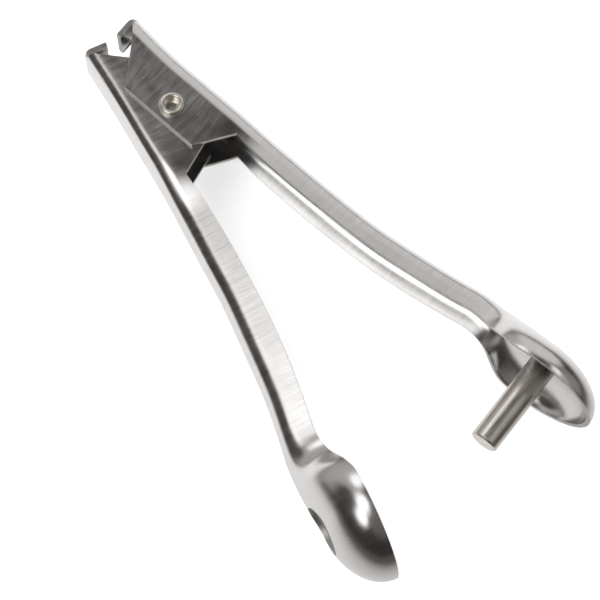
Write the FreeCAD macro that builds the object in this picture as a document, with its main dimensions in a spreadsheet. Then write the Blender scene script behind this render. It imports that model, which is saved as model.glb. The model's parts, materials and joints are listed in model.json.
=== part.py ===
import FreeCAD, Part
import math
import os
import Sketcher

from FreeCAD import Placement, Rotation, Vector

# Cherry pitter: two pressed channel arms hinged near one end on a rivet. One arm ends in a
# cup with a pit hole, the other in a dish that carries a solid pin. Squeezing the handles
# drives the pin through the cup, and a torsion spring round the rivet opens them again.
#
# Arm coordinates: along is the distance from the pivot towards the cup, out is the distance
# from the closing plane towards the arm's own spine, side is the distance along the pivot.
# The tool lies on its side on the floor, +Z up, handles towards +X, pin arm on the +Y side.

DOC = FreeCAD.newDocument("cherry_pitter")
SHEET = DOC.addObject("Spreadsheet::Sheet", "Sizes")

SIZES = [
    ("sheet_thickness", 1.2),
    ("half_opening_angle", 13.4),
    ("pivot_to_bowl", 108.7),
    ("bowl_radius", 17.0),
    ("cup_depth", 11.5),
    ("dish_depth", 9.2),
    ("bowl_roundness", 2.1),
    ("neck_blend_radius", 9.0),
    ("pin_arm_width", 16.6),
    ("cup_arm_width", 13.9),
    ("pin_arm_corner", 4.5),
    ("cup_arm_corner_head", 3.2),
    ("cup_arm_corner_grip", 4.5),
    ("skin_depth", 9.0),
    ("arm_top", -24.0),
    ("flap_width", 10.0),
    ("flap_tip_out", 7.5),
    ("flap_bend", 2.0),
    ("flap_root", -19.5),
    ("flap_outer_inset", 0.22),
    ("flap_inner_inset", 0.05),
    ("blank_height", 20.0),
    ("blank_width", 40.0),
    ("blank_end", 130.0),
    ("rivet_radius", 2.3),
    ("rivet_running_gap", 0.05),
    ("rivet_head_radius", 3.9),
    ("rivet_head_height", 1.6),
    ("rivet_head_round", 1.35),
    ("rivet_roll_radius", 2.85),
    ("rivet_roll_height", 0.85),
    ("rivet_roll_round", 0.38),
    ("rivet_bore_radius", 1.85),
    ("rivet_bore_depth", 2.4),
    ("washer_radius", 3.3),
    ("washer_thickness", 0.5),
    ("sleeve_radius", 3.1),
    ("sleeve_end_gap", 0.1),
    ("spring_wire_radius", 0.55),
    ("spring_mean_radius", 4.0),
    ("spring_turn_gap", 0.12),
    ("spring_turns_whole", 5.0),
    ("spring_leg_reach", 14.0),
    ("spring_leg_gap", 0.02),
    ("pin_radius", 3.5),
    ("pin_reach", 19.1),
    ("pin_chamfer", 0.35),
    ("pin_shoulder", 7.72),
    ("tenon_radius", 2.2),
    ("peen_radius", 3.1),
    ("peen_height", 0.8),
    ("pit_hole_radius", 6.3),
]

# Spine height over the closing plane, at stations along each arm
SPINE_STATIONS = {
    "cup": [(-26, 14.2), (-10, 12.4), (3, 11.3), (14, 10.5), (26, 10.1), (38, 9.7), (48, 9.3),
            (60, 9.5), (74, 10.0), (84, 11.1), (91, 12.1), (97, 12.3), (103, 11.9)],
    "pin": [(-26, 14.3), (-10, 11.7), (3, 10.7), (14, 9.9), (26, 9.0), (38, 8.1), (48, 7.5),
            (58, 7.2), (70, 7.8), (81, 8.7), (89, 9.8), (95, 9.9), (102, 9.4)],
}
# Lower edge of the side walls, at stations along both arms
RIM_STATIONS = [(24, 2.95), (40, 1.65), (57, 1.15), (70, 1.55), (81, 2.6), (88, 3.3),
                (93, 2.6), (98, 0.9), (102, 0.0)]
# Corners of the two cheeks at the pivot; the hidden corner of the cup arm is cut back so that
# it clears the bend of the pin arm when the tool springs fully open
CHEEK_CORNERS = {
    "pin": [(-11.9, -3.4), (10.2, -5.1), (16.8, 4.1)],
    "cup": [(-14.6, 0.9), (-7.2, -3.8), (10.2, -5.1), (16.8, 4.1)],
}
CHEEK_END_SLOPE = 0.633

for row, (alias, size) in enumerate(SIZES, start=1):
    SHEET.set("A%d" % row, alias)
    SHEET.set("B%d" % row, repr(size))
    SHEET.setAlias("B%d" % row, alias)
DOC.recompute()


def size_of(alias):
    """A driving dimension, read back from the spreadsheet."""
    return float(SHEET.get(alias))


def bind(obj, prop, formula):
    """Tie one property of an object to the spreadsheet."""
    obj.setExpression(prop, formula)


def smooth(stations, at):
    """Cubic Hermite curve through the stations, level where it runs past them."""
    xs = [s[0] for s in stations]
    ys = [s[1] for s in stations]
    last = len(xs) - 1
    if at <= xs[0]:
        return ys[0]
    if at >= xs[last]:
        return ys[last]
    slopes = [0.0] * (last + 1)
    for k in range(1, last):
        slopes[k] = (ys[k + 1] - ys[k - 1]) / (xs[k + 1] - xs[k - 1])
    slopes[0] = (ys[1] - ys[0]) / (xs[1] - xs[0])
    k = max(i for i in range(last) if xs[i] <= at)
    span = xs[k + 1] - xs[k]
    t = (at - xs[k]) / span
    rise = ys[k + 1] - ys[k]
    return (ys[k] + rise * t * t * (3 - 2 * t)
            + span * t * (1 - t) * ((1 - t) * slopes[k] - t * slopes[k + 1]))


def ease(low, high, at):
    """0 below low, 1 above high, smooth between."""
    t = min(1.0, max(0.0, (at - low) / (high - low)))
    return t * t * (3 - 2 * t)


# The pressed form of an arm

# Steps across half a section, and the shares of them up the wall and to the corner's end
HALF_STEPS = 14
WALL_SHARE = 0.28
CORNER_SHARE = 0.78
# Rows below the closing plane, as shares of the skin's depth
FOOT_LEVELS = (-1.0, -0.6, -0.25)
# Row spacing along the handle and at the neck, and where the close rows start before it
HANDLE_ROW_STEP = 2.9
NECK_ROW_STEP = 1.15
NECK_LEAD = 9.0
# The last row lies this far before the bowl's middle, so that the skin is level there
LAST_ROW_STEP = 1.0
# The section turns from channel to bowl from before the neck until after it
BOWL_EASE_BEFORE = 5.0
BOWL_EASE_AFTER = 3.0
# The cup arm's corner widens from the hinge to here
CORNER_EASE_END = 30.0
# The forms run on past the end of the sheet
TOP_OVERRUN = 3.0


class ArmForm:
    """Outer skin of one arm as a family of cross-sections, from its top to the bowl's middle."""

    def __init__(self, kind):
        self.kind = kind
        self.half_width = size_of(kind + "_arm_width") / 2
        self.depth = size_of("dish_depth" if kind == "pin" else "cup_depth")
        self.centre = size_of("pivot_to_bowl")
        self.radius = size_of("bowl_radius")
        self.blend = size_of("neck_blend_radius")
        self.stations = SPINE_STATIONS[kind] + [(self.centre, self.depth)]
        reach = self.radius + self.blend
        beside = self.half_width + self.blend
        run = math.sqrt(reach ** 2 - beside ** 2)
        self.neck_start = self.centre - run
        self.neck_end = self.centre - run * self.radius / reach

    def corner(self, along):
        if self.kind == "pin":
            return size_of("pin_arm_corner")
        head = size_of("cup_arm_corner_head")
        grip = size_of("cup_arm_corner_grip")
        return head + (grip - head) * ease(0, CORNER_EASE_END, along)

    def plan_half_width(self, along):
        """Half width seen from the spine: straight handle, hollow neck, round bowl."""
        if along <= self.neck_start:
            return self.half_width
        if along < self.neck_end:
            over = along - self.neck_start
            return self.half_width + self.blend - math.sqrt(self.blend ** 2 - over ** 2)
        return math.sqrt(max(0.0, self.radius ** 2 - (self.centre - along) ** 2))

    def channel_point(self, share, height, corner):
        wall = height - corner
        if share < WALL_SHARE:
            return wall * share / WALL_SHARE, self.half_width
        if share < CORNER_SHARE:
            turn = (share - WALL_SHARE) / (CORNER_SHARE - WALL_SHARE) * math.pi / 2
            return wall + corner * math.sin(turn), self.half_width - corner * (1 - math.cos(turn))
        flat = (share - CORNER_SHARE) / (1 - CORNER_SHARE)
        return height, (self.half_width - corner) * (1 - flat)

    def bowl_point(self, share, height, half_width):
        turn = share * math.pi / 2
        power = 2.0 / size_of("bowl_roundness")
        return height * math.sin(turn) ** power, half_width * math.cos(turn) ** power

    def section(self, along):
        """Half section from the foot of the wall to the spine's middle: (out, side) pairs."""
        height = smooth(self.stations, along)
        half_width = self.plan_half_width(along)
        bowl_share = ease(self.neck_start - BOWL_EASE_BEFORE, self.neck_end + BOWL_EASE_AFTER,
                          along)
        pairs = []
        for level in FOOT_LEVELS:
            pairs.append((level * size_of("skin_depth"), half_width))
        for step in range(HALF_STEPS + 1):
            share = step / HALF_STEPS
            out_c, side_c = self.channel_point(share, height, self.corner(along))
            out_b, side_b = self.bowl_point(share, height, half_width)
            out = out_c + (out_b - out_c) * bowl_share
            side = side_c + (side_b - side_c) * bowl_share
            pairs.append((out, side))
        return pairs

    def rows(self, start):
        """Sections along the arm, close together at the neck."""
        last_but_one = self.centre - LAST_ROW_STEP
        alongs = []
        along = start
        while along < last_but_one:
            alongs.append(along)
            close = along > self.neck_start - NECK_LEAD
            along += NECK_ROW_STEP if close else HANDLE_ROW_STEP
        alongs[-1] = last_but_one
        alongs.append(self.centre)
        net = []
        for along in alongs:
            at = self.centre if along >= last_but_one else along
            half = self.section(at)
            near = [Vector(along, out, side) for out, side in half]
            far = [Vector(along, out, -side) for out, side in reversed(half[:-1])]
            net.append(near + far)
        return net


def offset_net(net, distance):
    """Move a control net inwards by the sheet's thickness; its two ends stay flat."""
    rows = len(net)
    cols = len(net[0])
    moved = []
    for i in range(rows):
        line = []
        for j in range(cols):
            ahead = net[min(i + 1, rows - 1)][j] - net[max(i - 1, 0)][j]
            across = net[i][min(j + 1, cols - 1)] - net[i][max(j - 1, 0)]
            normal = across.cross(ahead)
            if i == 0 or i >= rows - 2:
                normal.x = 0
            if j == 0 or j == cols - 1:
                normal.y = 0
            normal.normalize()
            line.append(net[i][j] + normal * distance)
        moved.append(line)
    return moved


def skin_surface(net):
    """Cubic B-spline surface held by a control net."""
    surface = Part.BSplineSurface()
    rows = len(net)
    cols = len(net[0])
    row_knots = [float(k) for k in range(rows - 2)]
    col_knots = [float(k) for k in range(cols - 2)]
    row_mults = [4] + [1] * (rows - 4) + [4]
    col_mults = [4] + [1] * (cols - 4) + [4]
    surface.buildFromPolesMultsKnots(net, row_mults, col_mults, row_knots, col_knots,
                                     False, False, 3, 3)
    return surface


def closed_solid(faces):
    shell = Part.Shell(faces)
    shell.sewShape()
    solid = Part.Solid(shell)
    if solid.Volume < 0:
        solid.reverse()
    return solid


def form_solid(net, centre):
    """Filled form under a skin: the handle part, closed flat, and the bowl's round end."""
    surface = skin_surface(net)
    rows = len(net)
    cols = len(net[0])
    first, last = 0.0, float(rows - 3)
    left, right = 0.0, float(cols - 3)
    skin = surface.toShape()
    top_curve = surface.uIso(first)
    end_curve = surface.uIso(last)
    near_foot = surface.vIso(left)
    far_foot = surface.vIso(right)
    top_line = Part.makeLine(far_foot.value(first), near_foot.value(first))
    end_line = Part.makeLine(far_foot.value(last), near_foot.value(last))
    top_cap = Part.Face(Part.Wire([top_curve.toShape(), top_line]))
    end_cap = Part.Face(Part.Wire([end_curve.toShape(), end_line]))
    foot_wire = Part.Wire([near_foot.toShape(), end_line, far_foot.toShape(), top_line])
    foot = Part.Face(foot_wire)
    handle = closed_solid([skin, top_cap, end_cap, foot])
    half_curve = end_curve.copy()
    half_curve.segment(left, (left + right) / 2)
    rim_foot = half_curve.value(left)
    crown = half_curve.value((left + right) / 2)
    axis_foot = Vector(centre, rim_foot.y, 0)
    half_face = Part.Face(Part.Wire([
        half_curve.toShape(),
        Part.makeLine(crown, axis_foot),
        Part.makeLine(axis_foot, rim_foot),
    ]))
    round_end = half_face.revolve(axis_foot, Vector(0, 1, 0), 180)
    if round_end.Volume < 0:
        round_end.reverse()
    return handle.fuse(round_end)


def blank_outline(kind):
    """Side outline of the blank: cheek end, cheek corners, rim of the walls, flat bowl rim."""
    top = size_of("blank_height")
    end = size_of("blank_end")
    corners = CHEEK_CORNERS[kind]
    first = corners[0]
    points = [Vector(first[0] - CHEEK_END_SLOPE * (top - first[1]), top, 0)]
    points += [Vector(along, out, 0) for along, out in corners]
    edges = [Part.makeLine(a, b) for a, b in zip(points, points[1:])]
    rim = Part.BSplineCurve()
    rim.interpolate([points[-1]] + [Vector(along, out, 0) for along, out in RIM_STATIONS])
    edges.append(rim.toShape())
    rim_end = Vector(RIM_STATIONS[-1][0], RIM_STATIONS[-1][1], 0)
    tail = [rim_end, Vector(end, 0, 0), Vector(end, top, 0), points[0]]
    edges += [Part.makeLine(a, b) for a, b in zip(tail, tail[1:])]
    return Part.Wire(edges)


def flap_outline(form):
    """Spine end bent over inwards: a strip with a round bend, rooted inside the sheet."""
    inset = size_of("flap_outer_inset")
    thick = size_of("sheet_thickness") - inset - size_of("flap_inner_inset")
    root = size_of("flap_root")
    top = size_of("arm_top")
    bend = size_of("flap_bend")
    tip = size_of("flap_tip_out")
    root_out = smooth(form.stations, root) - inset
    bend_out = smooth(form.stations, top + bend) - inset
    turn = math.sqrt(0.5)

    def corner(radius, depth):
        start = Vector(top + bend, bend_out - depth, 0)
        middle = Vector(top + bend - radius * turn, bend_out - bend + radius * turn, 0)
        stop = Vector(top + depth, bend_out - bend, 0)
        return start, middle, stop

    outer = corner(bend, 0.0)
    inner = corner(bend - thick, thick)
    outer_root = Vector(root, root_out, 0)
    inner_root = Vector(root, root_out - thick, 0)
    outer_tip = Vector(top, tip, 0)
    inner_tip = Vector(top + thick, tip, 0)
    return Part.Wire([
        Part.makeLine(outer_root, outer[0]),
        Part.Arc(*outer).toShape(),
        Part.makeLine(outer[2], outer_tip),
        Part.makeLine(outer_tip, inner_tip),
        Part.makeLine(inner_tip, inner[2]),
        Part.Arc(*reversed(inner)).toShape(),
        Part.makeLine(inner[0], inner_root),
        Part.makeLine(inner_root, outer_root),
    ])


def shape_feature(name, shape):
    feature = DOC.addObject("Part::Feature", name)
    feature.Shape = shape
    return feature


def extrude_both_ways(name, outline, width_formula):
    """Solid of an outline drawn in the arm's plane, as wide as the sheet says."""
    feature = DOC.addObject("Part::Extrusion", name)
    feature.Base = outline
    feature.DirMode = "Custom"
    feature.Dir = Vector(0, 0, 1)
    feature.Solid = True
    feature.Symmetric = True
    bind(feature, "LengthFwd", width_formula)
    return feature


def boolean(kind, name, base, tool):
    feature = DOC.addObject("Part::" + kind, name)
    feature.Base = base
    feature.Tool = tool
    return feature


def cylinder(name, radius_formula, height, placement):
    feature = DOC.addObject("Part::Cylinder", name)
    bind(feature, "Radius", radius_formula)
    feature.Height = height
    feature.Placement = placement
    return feature


def mirrored(shape):
    return shape.mirror(Vector(0, 0, 0), Vector(0, 1, 0))


def build_arm(kind, hole_formula, bowl_hole_formula):
    """One pressed arm: sheet between two forms, trimmed to the blank, with its holes and flap."""
    form = ArmForm(kind)
    net = form.rows(size_of("arm_top") - TOP_OVERRUN)
    inner_net = offset_net(net, size_of("sheet_thickness"))
    turn_over = mirrored if kind == "cup" else (lambda shape: shape)
    outer = shape_feature(kind + "_outer_form", turn_over(form_solid(net, form.centre)))
    inner = shape_feature(kind + "_inner_form", turn_over(form_solid(inner_net, form.centre)))
    sheet = boolean("Cut", kind + "_pressed_sheet", outer, inner)
    outline = shape_feature(kind + "_blank_outline", turn_over(blank_outline(kind)))
    blank = extrude_both_ways(kind + "_blank", outline, "Sizes.blank_width")
    trimmed = boolean("Common", kind + "_trimmed", sheet, blank)
    flap_wire = shape_feature(kind + "_flap_outline", turn_over(flap_outline(form)))
    flap = extrude_both_ways(kind + "_flap", flap_wire, "Sizes.flap_width")
    with_flap = boolean("Fuse", kind + "_with_flap", trimmed, flap)
    tall = size_of("blank_width")
    across = Placement(Vector(0, 0, -tall / 2), Rotation())
    rivet_hole = cylinder(kind + "_rivet_hole", hole_formula, tall, across)
    drilled = boolean("Cut", kind + "_drilled", with_flap, rivet_hole)
    sign = -1 if kind == "cup" else 1
    up_bowl = Placement(Vector(form.centre, 0, 0), Rotation(Vector(1, 0, 0), -90 * sign))
    bowl_hole = cylinder(kind + "_bowl_hole", bowl_hole_formula, tall / 2, up_bowl)
    return boolean("Cut", kind + "_arm_sheet", drilled, bowl_hole)


# Turned pieces

def origin_plane(body, role):
    return [feature for feature in body.Origin.OriginFeatures if feature.Role == role][0]


def turned_body(name, profile):
    """A body turned about its own Z axis from (radius, height) corners given as formulas."""
    body = DOC.addObject("PartDesign::Body", name + "_body")
    sketch = body.newObject("Sketcher::SketchObject", name + "_profile")
    sketch.AttachmentSupport = [(origin_plane(body, "XZ_Plane"), "")]
    sketch.MapMode = "FlatFace"
    start = [Vector(1 + i, 1 + i, 0) for i in range(len(profile))]
    for i, point in enumerate(start):
        sketch.addGeometry(Part.LineSegment(point, start[(i + 1) % len(start)]), False)
    for i in range(len(profile)):
        sketch.addConstraint(Sketcher.Constraint("Coincident", i, 2, (i + 1) % len(profile), 1))
    for i, (radius, height) in enumerate(profile):
        for axis, formula in (("DistanceX", radius), ("DistanceY", height)):
            index = sketch.addConstraint(Sketcher.Constraint(axis, -1, 1, i, 1, 1.0 + i))
            sketch.setExpression("Constraints[%d]" % index, formula)
    DOC.recompute()
    turned = body.newObject("PartDesign::Revolution", name + "_turned")
    turned.Profile = sketch
    turned.ReferenceAxis = (sketch, ["V_Axis"])
    turned.Angle = 360
    body.Tip = turned
    DOC.recompute()
    return body


NEAR = 1e-4


def round_edges(body, name, formula, picks):
    """Round the circular edges of a turned body that lie at the given (radius, height)."""
    base = body.Tip
    names = []
    for number, edge in enumerate(base.Shape.Edges, start=1):
        if not isinstance(edge.Curve, Part.Circle):
            continue
        for radius, height in picks:
            near_radius = abs(edge.Curve.Radius - radius) < NEAR
            near_height = abs(edge.Curve.Center.z - height) < NEAR
            if near_radius and near_height:
                names.append("Edge%d" % number)
    rounded = body.newObject("PartDesign::Fillet", name)
    rounded.Base = (base, names)
    bind(rounded, "Radius", formula)
    body.Tip = rounded
    DOC.recompute()
    return body


def build_rivet():
    """Semi-tubular rivet, drawn from the top of its domed head up to its rolled end."""
    grip = "(Sizes.rivet_head_height + Sizes.pin_arm_width + Sizes.washer_thickness)"
    crest = grip + " + Sizes.rivet_roll_height"
    body = turned_body("pivot_rivet", [
        ("0", "0"),
        ("Sizes.rivet_head_radius", "0"),
        ("Sizes.rivet_head_radius", "Sizes.rivet_head_height"),
        ("Sizes.rivet_radius", "Sizes.rivet_head_height"),
        ("Sizes.rivet_radius", grip),
        ("Sizes.rivet_roll_radius", grip),
        ("Sizes.rivet_roll_radius", crest),
        ("Sizes.rivet_bore_radius", crest),
        ("Sizes.rivet_bore_radius", crest + " - Sizes.rivet_bore_depth"),
        ("0", crest + " - Sizes.rivet_bore_depth"),
    ])
    crest_at = (size_of("rivet_head_height") + size_of("pin_arm_width")
                + size_of("washer_thickness") + size_of("rivet_roll_height"))
    round_edges(body, "rivet_head_dome", "Sizes.rivet_head_round",
                [(size_of("rivet_head_radius"), 0)])
    round_edges(body, "rivet_roll", "Sizes.rivet_roll_round",
                [(size_of("rivet_roll_radius"), crest_at),
                 (size_of("rivet_bore_radius"), crest_at)])
    return body


def build_ring(name, inner, outer, length):
    return turned_body(name, [(inner, "0"), (outer, "0"), (outer, length), (inner, length)])


def build_pin():
    """Solid pin, drawn from its tip: chamfered end, shoulder on the dish, peened tenon."""
    shoulder = "Sizes.pin_reach + Sizes.pin_shoulder"
    floor = "Sizes.pin_reach + Sizes.dish_depth"
    return turned_body("plunger_pin", [
        ("0", "0"),
        ("Sizes.pin_radius - Sizes.pin_chamfer", "0"),
        ("Sizes.pin_radius", "Sizes.pin_chamfer"),
        ("Sizes.pin_radius", shoulder),
        ("Sizes.tenon_radius", shoulder),
        ("Sizes.tenon_radius", floor),
        ("Sizes.peen_radius", floor),
        ("Sizes.tenon_radius", floor + " + Sizes.peen_height"),
        ("0", floor + " + Sizes.peen_height"),
    ])


# Points round the wire's section, turn between points of the coil, points along a leg
WIRE_SIDES = 12
COIL_STEP_DEG = 20.0
LEG_STEPS = 8


def control_radius(radius, step):
    """Radius at which points a step apart hold a cubic spline of the given radius."""
    return radius * 3 / (2 + math.cos(step))


def tube_solid(path, radius):
    """Round wire along a path that is never upright: one smooth skin and two flat ends."""
    step = 2 * math.pi / WIRE_SIDES
    ring = control_radius(radius, step)
    last = len(path) - 1
    net = []
    for i, point in enumerate(path):
        ahead = (path[min(i + 1, last)] - path[max(i - 1, 0)]).normalize()
        side = ahead.cross(Vector(0, 0, 1)).normalize()
        up = side.cross(ahead)
        net.append([point + side * (ring * math.cos(k * step)) + up * (ring * math.sin(k * step))
                    for k in range(WIRE_SIDES)])
    surface = Part.BSplineSurface()
    row_knots = [float(k) for k in range(last - 1)]
    row_mults = [4] + [1] * (last - 3) + [4]
    ring_knots = [float(k) for k in range(WIRE_SIDES + 1)]
    surface.buildFromPolesMultsKnots(net, row_mults, [1] * (WIRE_SIDES + 1), row_knots,
                                     ring_knots, False, True, 3, 3)
    ends = [surface.uIso(row_knots[0]), surface.uIso(row_knots[-1])]
    caps = [Part.Face(Part.Wire([curve.toShape()])) for curve in ends]
    return closed_solid([surface.toShape()] + caps)


def build_spring():
    """Torsion spring round the sleeve; each leg lies against the inside of one spine."""
    wire = size_of("spring_wire_radius")
    mean = size_of("spring_mean_radius")
    half_angle = math.radians(size_of("half_opening_angle"))
    reach = size_of("spring_leg_reach")
    inside = size_of("sheet_thickness") + wire + size_of("spring_leg_gap")
    ends = {}
    for kind, sign in (("pin", 1), ("cup", -1)):
        form = ArmForm(kind)
        out = smooth(form.stations, reach) - inside
        ends[kind] = (math.hypot(reach, out), sign * (half_angle + math.atan2(out, reach)))
    pin_far, pin_turn = ends["pin"]
    cup_far, cup_turn = ends["cup"]
    start = pin_turn + math.acos(mean / pin_far)
    stop = cup_turn - math.acos(mean / cup_far)
    sweep = size_of("spring_turns_whole") * 2 * math.pi - (start - stop)
    pitch = 2 * wire + size_of("spring_turn_gap")
    height = pitch * sweep / (2 * math.pi)
    steps = math.ceil(sweep / math.radians(COIL_STEP_DEG))
    coil_radius = control_radius(mean, sweep / steps)
    coil = []
    for k in range(steps + 1):
        turn = start + sweep * k / steps
        level = height * (k / steps - 0.5)
        coil.append(Vector(coil_radius * math.cos(turn), coil_radius * math.sin(turn), level))
    path = []
    for far, turn, level in ((pin_far, pin_turn, -height / 2), (cup_far, cup_turn, height / 2)):
        tip = Vector(far * math.cos(turn), far * math.sin(turn), level)
        root = coil[0] if level < 0 else coil[-1]
        leg = [tip + (root - tip) * (k / LEG_STEPS) for k in range(LEG_STEPS)]
        path = path + leg if level < 0 else path + coil + leg[::-1]
    return shape_feature("return_spring_wire", tube_solid(path, wire))


pin_arm = build_arm("pin", "Sizes.rivet_radius", "Sizes.tenon_radius")
cup_arm = build_arm("cup", "Sizes.rivet_radius + Sizes.rivet_running_gap",
                    "Sizes.pit_hole_radius")
plunger_pin = build_pin()
pivot_rivet = build_rivet()
rivet_washer = build_ring("rivet_washer", "Sizes.rivet_radius", "Sizes.washer_radius",
                          "Sizes.washer_thickness")
sleeve_length = ("Sizes.cup_arm_width - 2 * Sizes.sheet_thickness"
                 " - 2 * Sizes.sleeve_end_gap")
pivot_sleeve = build_ring("pivot_sleeve", "Sizes.rivet_radius", "Sizes.sleeve_radius",
                          sleeve_length)
return_spring = build_spring()

# Places of the pieces round the pivot, before the tool is laid down
opening = size_of("half_opening_angle")
half_arm = size_of("pin_arm_width") / 2
turn_pin = Placement(Vector(), Rotation(Vector(0, 0, 1), opening))
turn_cup = Placement(Vector(), Rotation(Vector(0, 0, 1), -opening))
sleeve_half = (size_of("cup_arm_width") / 2 - size_of("sheet_thickness")
               - size_of("sleeve_end_gap"))
pin_seat = Placement(Vector(size_of("pivot_to_bowl"), -size_of("pin_reach"), 0),
                     Rotation(Vector(1, 0, 0), -90))
NODES = {
    "pin_arm": (pin_arm, turn_pin),
    "cup_arm": (cup_arm, turn_cup),
    "plunger_pin": (plunger_pin, turn_pin.multiply(pin_seat)),
    "pivot_rivet": (pivot_rivet, Placement(
        Vector(0, 0, -half_arm - size_of("rivet_head_height")), Rotation())),
    "rivet_washer": (rivet_washer, Placement(Vector(0, 0, half_arm), Rotation())),
    "pivot_sleeve": (pivot_sleeve, Placement(Vector(0, 0, -sleeve_half), Rotation())),
    "return_spring": (return_spring, Placement()),
}

# The tool rests on the rims of the cup and the dish and on the rivet's domed head
head_level = half_arm + size_of("rivet_head_height")
rim_reach = size_of("pivot_to_bowl") * math.cos(math.radians(opening))
rest_tilt = math.asin((size_of("bowl_radius") - head_level) / rim_reach)
lay_down = Rotation(Vector(0, 1, 0), -math.degrees(rest_tilt))

DOC.recompute()
for label, (feature, place) in NODES.items():
    feature.Placement = Placement(Vector(), lay_down).multiply(place)
    feature.Label = label
DOC.recompute()

# The origin is the middle of the tool's underside
whole = Part.makeCompound([feature.Shape for feature, place in NODES.values()])
box = whole.optimalBoundingBox(False, False)
origin_shift = Vector(-(box.XMin + box.XMax) / 2, -(box.YMin + box.YMax) / 2, -box.ZMin)
for feature, place in NODES.values():
    feature.Placement = Placement(origin_shift, lay_down).multiply(place)
DOC.recompute()

for feature in DOC.Objects:
    if "Invalid" in feature.State or "Error" in feature.State:
        raise RuntimeError("%s failed: %s" % (feature.Name, feature.State))

os.makedirs("parts", exist_ok=True)
for label, (feature, place) in NODES.items():
    shape = feature.Shape
    if shape.isNull() or not shape.isValid():
        raise RuntimeError("%s is not a sound shape" % label)
    shape.exportStep("parts/%s.step" % label)
    print("%-14s volume %9.2f  solids %d" % (label, shape.Volume, len(shape.Solids)))

pivot_at = origin_shift
pivot_axis = lay_down.multVec(Vector(0, 0, 1))
print("pivot", pivot_at, "axis", pivot_axis, "tilt", math.degrees(rest_tilt))
print("box", box.XLength, box.YLength, box.ZLength)
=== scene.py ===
import json
import math

import bmesh
import bpy
from bpy.props import FloatProperty, FloatVectorProperty, IntProperty, PointerProperty
from bpy.types import Operator, Panel, PropertyGroup
from mathutils import Matrix, Vector

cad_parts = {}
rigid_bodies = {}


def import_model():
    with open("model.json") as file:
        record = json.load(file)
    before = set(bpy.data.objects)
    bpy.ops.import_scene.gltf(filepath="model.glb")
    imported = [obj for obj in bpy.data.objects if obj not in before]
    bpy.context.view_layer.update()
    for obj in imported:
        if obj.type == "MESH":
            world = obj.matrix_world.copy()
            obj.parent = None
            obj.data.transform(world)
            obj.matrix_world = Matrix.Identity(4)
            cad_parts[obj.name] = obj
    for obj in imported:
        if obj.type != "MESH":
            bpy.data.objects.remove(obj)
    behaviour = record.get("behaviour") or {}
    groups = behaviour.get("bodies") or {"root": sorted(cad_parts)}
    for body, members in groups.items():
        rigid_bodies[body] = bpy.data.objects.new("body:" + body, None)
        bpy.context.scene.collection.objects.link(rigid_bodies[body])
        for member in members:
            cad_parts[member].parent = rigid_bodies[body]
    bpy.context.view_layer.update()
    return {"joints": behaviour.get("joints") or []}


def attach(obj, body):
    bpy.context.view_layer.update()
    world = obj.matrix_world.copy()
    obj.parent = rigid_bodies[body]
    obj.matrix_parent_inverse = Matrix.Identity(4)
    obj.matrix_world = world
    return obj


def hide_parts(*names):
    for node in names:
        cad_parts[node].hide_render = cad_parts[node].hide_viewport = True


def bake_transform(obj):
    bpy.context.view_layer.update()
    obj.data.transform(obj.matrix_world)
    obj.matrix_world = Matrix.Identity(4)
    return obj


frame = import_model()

bl_info = {
    "name": "Cherry Pitter",
    "version": (1, 0, 0),
    "blender": (4, 5, 0),
    "location": "View3D > Sidebar > Cherry Pitter",
    "description": "Builds the looks of a pressed steel cherry pitter round its packed model",
    "category": "Object",
}

# Shapes are worked out in millimetres in the arm's or the hinge's own coordinates, and MM brings
# them to metres. An arm's coordinates are along, from the hinge to the bowl, out, from the
# closing plane to the spine, and side, along the hinge's axis.
MM = 0.001

# The hinge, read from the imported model
HINGE = frame["joints"][0]
PIVOT = Vector(HINGE["pos_m"])
PIVOT_AXIS = Vector(HINGE["axis"]).normalized()
LAY_DOWN = Vector((0, 0, 1)).rotation_difference(PIVOT_AXIS).to_matrix().to_4x4()
PIN_BODY = HINGE["parent"]
CUP_BODY = HINGE["child"]

# Shape of the pressed arms, in millimetres. Cup and dish have their middle at CENTRE, and
# ROUNDNESS is the power of their section, where 2 is an ellipse.
HALF_OPENING_DEG = 13.4
CENTRE = 108.7
ROUNDNESS = 2.1
NECK_BLEND = 9.0
ARM_WIDTH = {"pin": 16.6, "cup": 13.9}
# Radius of the bend between wall and spine, on the head and on the handle
CORNER = {"pin": (4.5, 4.5), "cup": (3.2, 4.5)}
CORNER_EASE_END = 30.0
# The handle's walls lean inwards, as pressed walls do; the cheeks stand upright
WALL_LEAN_DEG = 11.0
LEAN_START = 11.0
LEAN_FULL = 26.0
# The channel turns into the bowl from before the neck until after it
BOWL_EASE_BEFORE = 5.0
BOWL_EASE_AFTER = 3.0
# Height of the spine, as places along the arm and how far out it lies there
SPINE = {
    "cup": [(-26, 14.2), (-10, 12.4), (3, 11.3), (14, 10.5), (26, 10.1), (38, 9.7), (48, 9.3),
            (60, 9.5), (74, 10.0), (84, 11.1), (91, 12.1), (97, 12.3), (103, 11.9)],
    "pin": [(-26, 14.3), (-10, 11.7), (3, 10.7), (14, 9.9), (26, 9.0), (38, 8.1), (48, 7.5),
            (58, 7.2), (70, 7.8), (81, 8.7), (89, 9.8), (95, 9.9), (102, 9.4)],
}
# Lower corners of the cheeks, and the slope of the end that rises from the first of them
CHEEK_CORNER = (10.2, -5.1)
CHEEK_TOP = (16.8, 4.1)
CHEEK = {
    "pin": [(-11.9, -3.4), CHEEK_CORNER, CHEEK_TOP],
    "cup": [(-14.6, 0.9), (-7.2, -3.8), CHEEK_CORNER, CHEEK_TOP],
}
CHEEK_END_SLOPE = 0.633
# Lower edge of the walls from the cheeks to the bowl
RIM = [CHEEK_TOP, (24, 2.95), (40, 1.65), (57, 1.15), (70, 1.55), (81, 2.6), (88, 3.3), (93, 2.6),
       (98, 0.9), (102, 0.0)]
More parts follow.
